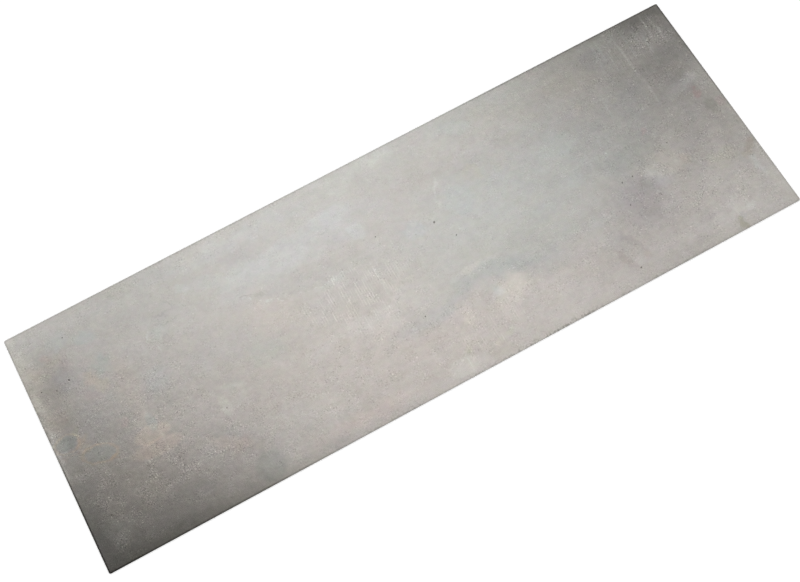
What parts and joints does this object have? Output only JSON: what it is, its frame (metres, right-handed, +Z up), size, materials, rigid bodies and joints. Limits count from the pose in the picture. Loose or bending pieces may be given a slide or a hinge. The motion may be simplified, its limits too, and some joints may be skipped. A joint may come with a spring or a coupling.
{
  "type": "sheet metal",
  "caption": "Flat rectangular sheet of mill-finish mild steel stock with sheared edges and eased corners, worn by handling with faint stains and scratches.",
  "frame": {"origin": "on the floor under the middle of the sheet's underside", "axes": "+X along the sheet's length, +Y across its width, +Z up through its thickness, out of the top face"},
  "size_m": [0.9144, 0.3048, 0.0015],
  "materials": {
    "mill_steel": "satin"
  },
  "bodies": {
    "root": {"steel_sheet": "mill_steel"}
  },
  "joints": []
}
